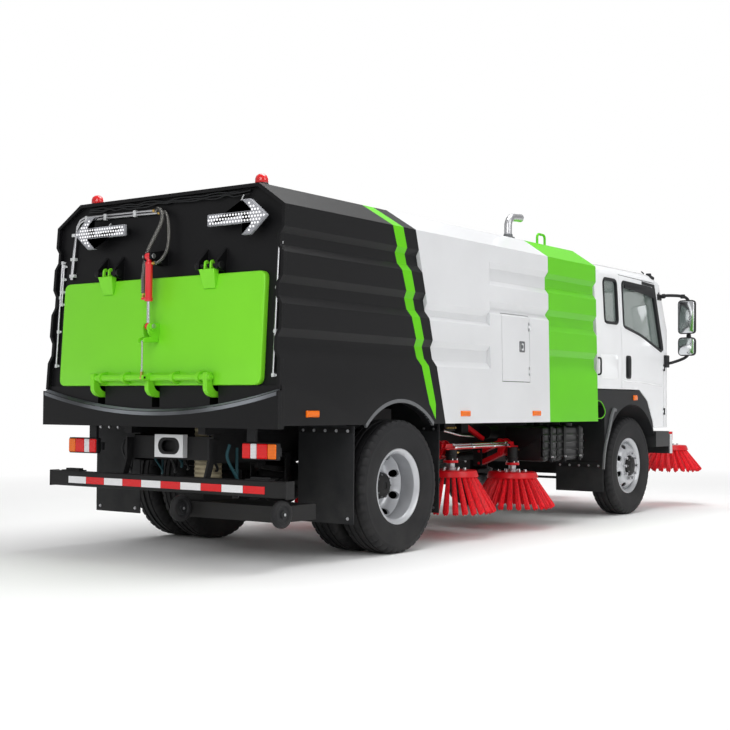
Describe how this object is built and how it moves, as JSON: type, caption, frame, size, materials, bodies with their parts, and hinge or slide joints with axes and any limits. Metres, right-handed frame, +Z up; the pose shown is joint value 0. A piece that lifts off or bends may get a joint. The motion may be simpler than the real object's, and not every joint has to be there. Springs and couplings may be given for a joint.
{
  "type": "street sweeper truck",
  "caption": "Cab-over street sweeper truck with hopper, rear discharge door, water tank, suction nozzle and rotating side brushes.",
  "frame": {"origin": "on the ground under the middle of the whole vehicle's bounding box", "axes": "+X forward, towards the cab and the nose brushes; +Y to the driver's left; +Z up"},
  "size_m": [7.9948, 2.79, 2.9369],
  "materials": {
    "black_paint": "satin",
    "black_plastic": "matt",
    "green_paint": "gloss",
    "grey_paint": "satin",
    "hose_plastic": "matt",
    "lamp_plastic": "gloss",
    "red_bristle": "matt",
    "red_paint": "satin",
    "rubber": "matt",
    "seat_fabric": "matt",
    "silver_paint": "satin",
    "steel": "satin",
    "tyre_rubber": "matt",
    "white_paint": "gloss",
    "window_glass": "gloss"
  },
  "bodies": {
    "chassis": {"chassis_frame": "black_paint", "arrow_boards": "black_plastic", "lamps": "lamp_plastic", "hopper_shell": "black_paint", "engine_cover": "white_paint", "water_tank": "green_paint", "engines": "grey_paint", "engine_ducts": "black_paint", "front_axle": "black_paint", "front_bumper": "black_plastic", "front_fenders": "black_plastic", "hydraulic_pipes": "steel", "leaf_springs": "black_paint", "mud_flaps": "rubber", "rear_axle": "black_paint", "side_tanks": "black_paint", "suction_hose": "hose_plastic", "underrun_bar": "grey_paint"},
    "cab": {"cab_shell": "white_paint", "cab_glass": "window_glass", "cab_interior": "seat_fabric", "mirrors": "black_plastic", "grille": "black_plastic"},
    "discharge_door": {"discharge_door": "green_paint"},
    "door_cylinder": {"door_cylinder": "green_paint"},
    "door_rod": {"door_rod": "steel"},
    "lock_shaft": {"lock_shaft": "green_paint"},
    "lock_link": {"lock_link": "steel"},
    "suction_nozzle": {"suction_nozzle": "grey_paint"},
    "tie_rod": {"tie_rod": "steel"},
    "cab_door_left": {"door_left": "white_paint"},
    "cab_door_right": {"door_right": "white_paint"},
    "locker_door_left": {"locker_door_left": "white_paint"},
    "locker_door_right": {"locker_door_right": "white_paint"},
    "steer_right": {"knuckle_right": "black_paint"},
    "steer_left": {"knuckle_left": "black_paint"},
    "wheel_front_left": {"tyre_front_left": "tyre_rubber", "rim_front_left": "silver_paint"},
    "wheels_rear_left": {"tyres_rear_left": "tyre_rubber", "rims_rear_left": "silver_paint"},
    "wheel_front_right": {"tyre_front_right": "tyre_rubber", "rim_front_right": "silver_paint"},
    "wheels_rear_right": {"tyres_rear_right": "tyre_rubber", "rims_rear_right": "silver_paint"},
    "lower_links_left": {"lower_links_left": "red_paint"},
    "upper_links_left": {"upper_links_left": "red_paint"},
    "brush_frame_left": {"brush_frame_left": "red_paint"},
    "brush_rear_left": {"brush_rear_left": "red_bristle"},
    "brush_front_left": {"brush_front_left": "red_bristle"},
    "nose_arm_left": {"nose_arm_left": "red_paint"},
    "brush_nose_left": {"brush_nose_left": "red_bristle"},
    "lower_links_right": {"lower_links_right": "red_paint"},
    "upper_links_right": {"upper_links_right": "red_paint"},
    "brush_frame_right": {"brush_frame_right": "red_paint"},
    "brush_rear_right": {"brush_rear_right": "red_bristle"},
    "brush_front_right": {"brush_front_right": "red_bristle"},
    "nose_arm_right": {"nose_arm_right": "red_paint"},
    "brush_nose_right": {"brush_nose_right": "red_bristle"},
    "caster_right": {"caster_right": "rubber"},
    "caster_left": {"caster_left": "rubber"}
  },
  "joints": [
    {"name": "cab_tilt", "type": "hinge", "parent": "chassis", "child": "cab", "pos_m": [3.02464, 0, 0.94], "axis": [0, 1, 0], "range_deg": [0, 45]},
    {"name": "cab_door_left", "type": "hinge", "parent": "cab", "child": "cab_door_left", "pos_m": [2.88864, 1.07, 1.32], "axis": [0, 0, -1], "range_deg": [0, 65]},
    {"name": "cab_door_right", "type": "hinge", "parent": "cab", "child": "cab_door_right", "pos_m": [2.88864, -1.07, 1.32], "axis": [0, 0, 1], "range_deg": [0, 65]},
    {"name": "locker_door_left", "type": "hinge", "parent": "chassis", "child": "locker_door_left", "pos_m": [-0.37736, 1.1884, 1.637], "axis": [0, 0, -1], "range_deg": [0, 100]},
    {"name": "locker_door_right", "type": "hinge", "parent": "chassis", "child": "locker_door_right", "pos_m": [-0.37736, -1.1884, 1.637], "axis": [0, 0, 1], "range_deg": [0, 100]},
    {"name": "steer_right", "type": "hinge", "parent": "chassis", "child": "steer_right", "pos_m": [2.09464, -0.74, 0.51], "axis": [0, 0, 1], "range_deg": [-32, 32]},
    {"name": "steer_left", "type": "hinge", "parent": "chassis", "child": "steer_left", "pos_m": [2.09464, 0.74, 0.51], "axis": [0, 0, 1], "range_deg": [-32, 32]},
    {"name": "tie_rod_pivot", "type": "hinge", "parent": "steer_right", "child": "tie_rod", "pos_m": [1.87464, -0.74, 0.368], "axis": [0, 0, 1], "range_deg": [-32, 32]},
    {"name": "wheel_front_left_spin", "type": "hinge", "parent": "steer_left", "child": "wheel_front_left", "pos_m": [2.09464, 0.905, 0.51], "axis": [0, 1, 0], "continuous": true},
    {"name": "wheels_rear_left_spin", "type": "hinge", "parent": "chassis", "child": "wheels_rear_left", "pos_m": [-2.40536, 0.915, 0.51], "axis": [0, 1, 0], "continuous": true},
    {"name": "wheel_front_right_spin", "type": "hinge", "parent": "steer_right", "child": "wheel_front_right", "pos_m": [2.09464, -0.905, 0.51], "axis": [0, 1, 0], "continuous": true},
    {"name": "wheels_rear_right_spin", "type": "hinge", "parent": "chassis", "child": "wheels_rear_right", "pos_m": [-2.40536, -0.915, 0.51], "axis": [0, 1, 0], "continuous": true},
    {"name": "discharge_door", "type": "hinge", "parent": "chassis", "child": "discharge_door", "pos_m": [-3.83736, 0, 2.11], "axis": [0, 1, 0], "range_deg": [0, 75]},
    {"name": "door_cylinder_swing", "type": "hinge", "parent": "chassis", "child": "door_cylinder", "pos_m": [-3.91736, 0, 2.2], "axis": [0, 1, 0], "range_deg": [0, 71.5]},
    {"name": "door_rod_slide", "type": "slide", "parent": "door_cylinder", "child": "door_rod", "axis": [0, 0, 1], "range_m": [0, 0.145]},
    {"name": "lock_turn", "type": "hinge", "parent": "discharge_door", "child": "lock_shaft", "pos_m": [-3.90536, 0, 1.318], "axis": [0, 1, 0], "range_deg": [0, 45]},
    {"name": "lock_link_pivot", "type": "hinge", "parent": "lock_shaft", "child": "lock_link", "pos_m": [-3.97536, 0, 1.318], "axis": [0, 1, 0], "range_deg": [-45, 0]},
    {"name": "brush_lift_left", "type": "hinge", "parent": "chassis", "child": "lower_links_left", "pos_m": [-0.54036, 0.472, 0.59], "axis": [-1, 0, 0], "range_deg": [0, 40]},
    {"name": "upper_links_left_pivot", "type": "hinge", "parent": "chassis", "child": "upper_links_left", "pos_m": [-0.54036, 0.472, 0.7], "axis": [-1, 0, 0], "range_deg": [0, 40]},
    {"name": "brush_frame_left_pivot", "type": "hinge", "parent": "lower_links_left", "child": "brush_frame_left", "pos_m": [-0.54036, 0.7, 0.69], "axis": [-1, 0, 0], "range_deg": [-40, 0]},
    {"name": "brush_rear_left_spin", "type": "hinge", "parent": "brush_frame_left", "child": "brush_rear_left", "pos_m": [-1.07536, 0.8, 0.4], "axis": [0, 0, 1], "continuous": true},
    {"name": "brush_front_left_spin", "type": "hinge", "parent": "brush_frame_left", "child": "brush_front_left", "pos_m": [-0.00536, 0.8, 0.4], "axis": [0, 0, 1], "continuous": true},
    {"name": "nose_arm_left_swing", "type": "hinge", "parent": "chassis", "child": "nose_arm_left", "pos_m": [2.94464, 0.43, 0.58], "axis": [0, 0, 1], "range_deg": [0, 20]},
    {"name": "brush_nose_left_spin", "type": "hinge", "parent": "nose_arm_left", "child": "brush_nose_left", "pos_m": [3.59464, 0.8, 0.55], "axis": [0, 0, 1], "continuous": true},
    {"name": "brush_lift_right", "type": "hinge", "parent": "chassis", "child": "lower_links_right", "pos_m": [-0.54036, -0.472, 0.59], "axis": [1, 0, 0], "range_deg": [0, 40]},
    {"name": "upper_links_right_pivot", "type": "hinge", "parent": "chassis", "child": "upper_links_right", "pos_m": [-0.54036, -0.472, 0.7], "axis": [1, 0, 0], "range_deg": [0, 40]},
    {"name": "brush_frame_right_pivot", "type": "hinge", "parent": "lower_links_right", "child": "brush_frame_right", "pos_m": [-0.54036, -0.7, 0.69], "axis": [1, 0, 0], "range_deg": [-40, 0]},
    {"name": "brush_rear_right_spin", "type": "hinge", "parent": "brush_frame_right", "child": "brush_rear_right", "pos_m": [-1.07536, -0.8, 0.4], "axis": [0, 0, 1], "continuous": true},
    {"name": "brush_front_right_spin", "type": "hinge", "parent": "brush_frame_right", "child": "brush_front_right", "pos_m": [-0.00536, -0.8, 0.4], "axis": [0, 0, 1], "continuous": true},
    {"name": "nose_arm_right_swing", "type": "hinge", "parent": "chassis", "child": "nose_arm_right", "pos_m": [2.94464, -0.43, 0.58], "axis": [0, 0, -1], "range_deg": [0, 20]},
    {"name": "brush_nose_right_spin", "type": "hinge", "parent": "nose_arm_right", "child": "brush_nose_right", "pos_m": [3.59464, -0.8, 0.55], "axis": [0, 0, 1], "continuous": true},
    {"name": "nozzle_lift", "type": "hinge", "parent": "chassis", "child": "suction_nozzle", "pos_m": [-2.88536, -0.27, 0.56], "axis": [0, -1, 0], "range_deg": [0, 16]},
    {"name": "caster_right_spin", "type": "hinge", "parent": "suction_nozzle", "child": "caster_right", "pos_m": [-3.79536, -1.168, 0.385], "axis": [0, 1, 0], "continuous": true},
    {"name": "caster_left_spin", "type": "hinge", "parent": "suction_nozzle", "child": "caster_left", "pos_m": [-3.83536, -0.265, 0.385], "axis": [0, 1, 0], "continuous": true}
  ],
  "couplings": [
    {"joint": "steer_left", "follows": "steer_right", "ratio": 1},
    {"joint": "tie_rod_pivot", "follows": "steer_right", "ratio": -1},
    {"joint": "door_cylinder_swing", "follows": "discharge_door", "ratio": 0.943},
    {"joint": "door_rod_slide", "follows": "discharge_door", "m_per_rad": 0.1092},
    {"joint": "lock_link_pivot", "follows": "lock_turn", "ratio": -1},
    {"joint": "upper_links_left_pivot", "follows": "brush_lift_left", "ratio": 1},
    {"joint": "brush_frame_left_pivot", "follows": "brush_lift_left", "ratio": -1},
    {"joint": "upper_links_right_pivot", "follows": "brush_lift_right", "ratio": 1},
    {"joint": "brush_frame_right_pivot", "follows": "brush_lift_right", "ratio": -1}
  ]
}
